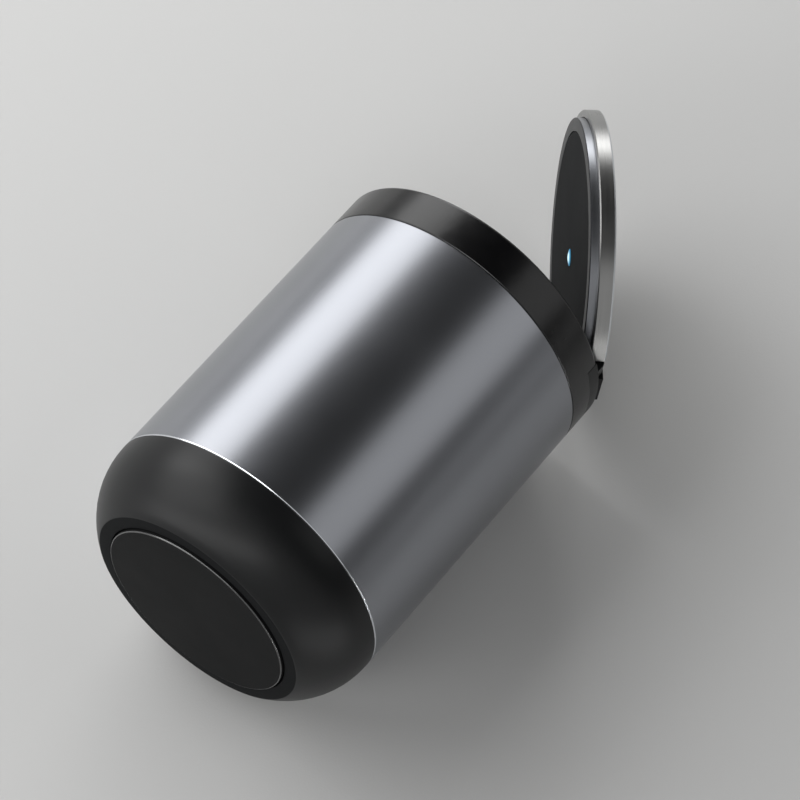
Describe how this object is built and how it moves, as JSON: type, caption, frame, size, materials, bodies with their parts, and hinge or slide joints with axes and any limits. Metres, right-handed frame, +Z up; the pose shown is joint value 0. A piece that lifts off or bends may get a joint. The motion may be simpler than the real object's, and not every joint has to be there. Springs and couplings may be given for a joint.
{
  "type": "car ashtray",
  "caption": "Cylindrical cup-holder ashtray with a metal sleeve, rounded base, lift-out liner and a hinged lid that has a small lamp in its underside.",
  "frame": {"origin": "centre of the foot pad's underside", "axes": "+Z up along the body's axis, +Y towards the hinge, +X to the right with the hinge behind"},
  "size_m": [0.072, 0.072, 0.1579],
  "materials": {
    "base_plastic": "satin moulded black",
    "pad_rubber": "matt charcoal",
    "sleeve_aluminium": "satin anodised",
    "collar_gloss": "gloss black",
    "liner_steel": "pressed, satin",
    "bracket_plastic": "satin black",
    "screw_steel": "plain",
    "pin_steel": "polished",
    "lid_metal": "satin gunmetal, anodised",
    "plug_gloss": "gloss black",
    "panel_plastic": "flat charcoal",
    "leaf_metal": "blackened",
    "lens_clear": "clear blue",
    "chip_case": "moulded",
    "board_laminate": "green mask",
    "cell_steel": "plated",
    "contact_brass": "plated strip",
    "switch_brass": "plain can"
  },
  "bodies": {
    "case": {"base_cup": "base_plastic", "foot_pad": "pad_rubber", "body_sleeve": "sleeve_aluminium", "collar": "collar_gloss", "ash_liner": "liner_steel", "hinge_bracket": "bracket_plastic", "bracket_screws": "screw_steel", "hinge_pin": "pin_steel", "friction_washers": "pin_steel"},
    "lid": {"lid_shell": "lid_metal", "lid_frame": "plug_gloss", "frame_screws": "screw_steel", "lid_panel": "panel_plastic", "hinge_leaf": "leaf_metal", "leaf_screws": "screw_steel", "led_lens": "lens_clear", "led_chip": "chip_case", "circuit_board": "board_laminate", "chip_resistor": "chip_case", "coin_cell": "cell_steel", "cell_spring": "contact_brass", "cell_contact": "contact_brass", "tilt_switch": "switch_brass"}
  },
  "joints": [
    {"name": "lid_hinge", "type": "hinge", "parent": "case", "child": "lid", "pos_m": [0, 0.0332, 0.10395], "axis": [-1, 0, 0], "range_deg": [-51.6, 43.4]}
  ]
}
